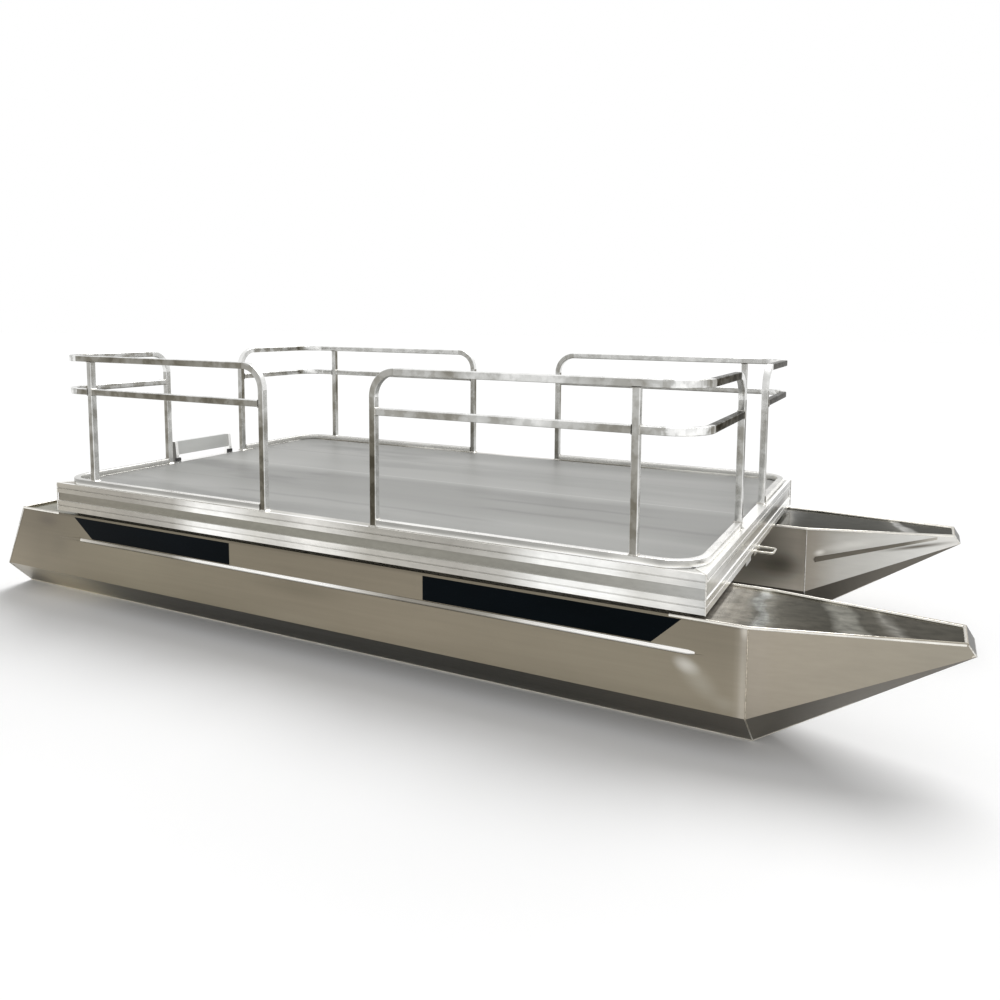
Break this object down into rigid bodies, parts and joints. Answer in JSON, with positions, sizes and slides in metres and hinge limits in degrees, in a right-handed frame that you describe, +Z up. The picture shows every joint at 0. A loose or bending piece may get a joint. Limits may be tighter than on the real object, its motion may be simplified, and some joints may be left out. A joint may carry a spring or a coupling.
{
  "type": "pontoon boat",
  "caption": "Small aluminium pontoon boat with twin box-section floats, a flat railed deck with open gates, a motor mount and a bow eye.",
  "frame": {"origin": "on the floor under the middle of the boat, which stands on the flat bottoms of its floats", "axes": "+X towards the bow, +Y to port, +Z up"},
  "size_m": [4.453, 1.85, 1.224],
  "materials": {
    "float_sheet": "mill sheet, satin",
    "bow_sheet": "mill sheet, satin",
    "top_plate": "bright rolled plate",
    "edge_extrusion": "bright extrusion",
    "floor": "light grey semi-gloss",
    "under_frame": "mill extrusion",
    "rail_tube": "bright drawn tube",
    "motor_mount": "satin",
    "bow_eye": "polished rod"
  },
  "bodies": {
    "root": {"bow_cone_port": "bow_sheet", "bow_cone_stbd": "bow_sheet", "bow_eye": "bow_eye", "bow_strake_port": "bow_sheet", "bow_strake_stbd": "bow_sheet", "bow_tab": "edge_extrusion", "cross_member_1": "under_frame", "cross_member_2": "under_frame", "cross_member_3": "under_frame", "cross_member_4": "under_frame", "cross_member_5": "under_frame", "cross_member_6": "under_frame", "deck_edge_bow": "edge_extrusion", "deck_edge_port": "edge_extrusion", "deck_edge_stbd": "edge_extrusion", "deck_edge_stern": "edge_extrusion", "float_log_port": "float_sheet", "float_log_stbd": "float_sheet", "float_top_port": "top_plate", "float_top_stbd": "top_plate", "floor_panel_1": "floor", "floor_panel_2": "floor", "floor_panel_3": "floor", "floor_panel_4": "floor", "motor_board": "motor_mount", "motor_cheek_port": "motor_mount", "motor_cheek_stbd": "motor_mount", "rail_port_bow_base": "rail_tube", "rail_port_bow_frame": "rail_tube", "rail_port_bow_mid_end": "rail_tube", "rail_port_bow_mid_side": "rail_tube", "rail_port_bow_post": "rail_tube", "rail_port_stern_base": "rail_tube", "rail_port_stern_frame": "rail_tube", "rail_port_stern_mid_end": "rail_tube", "rail_port_stern_mid_side": "rail_tube", "rail_port_stern_post": "rail_tube", "rail_stbd_bow_base": "rail_tube", "rail_stbd_bow_frame": "rail_tube", "rail_stbd_bow_mid_end": "rail_tube", "rail_stbd_bow_mid_side": "rail_tube", "rail_stbd_bow_post": "rail_tube", "rail_stbd_stern_base": "rail_tube", "rail_stbd_stern_frame": "rail_tube", "rail_stbd_stern_mid_end": "rail_tube", "rail_stbd_stern_mid_side": "rail_tube", "rail_stbd_stern_post": "rail_tube", "riser_inner_port": "under_frame", "riser_inner_stbd": "under_frame", "riser_outer_port": "under_frame", "riser_outer_stbd": "under_frame", "stern_plate_port": "float_sheet", "stern_plate_stbd": "float_sheet"}
  },
  "joints": []
}
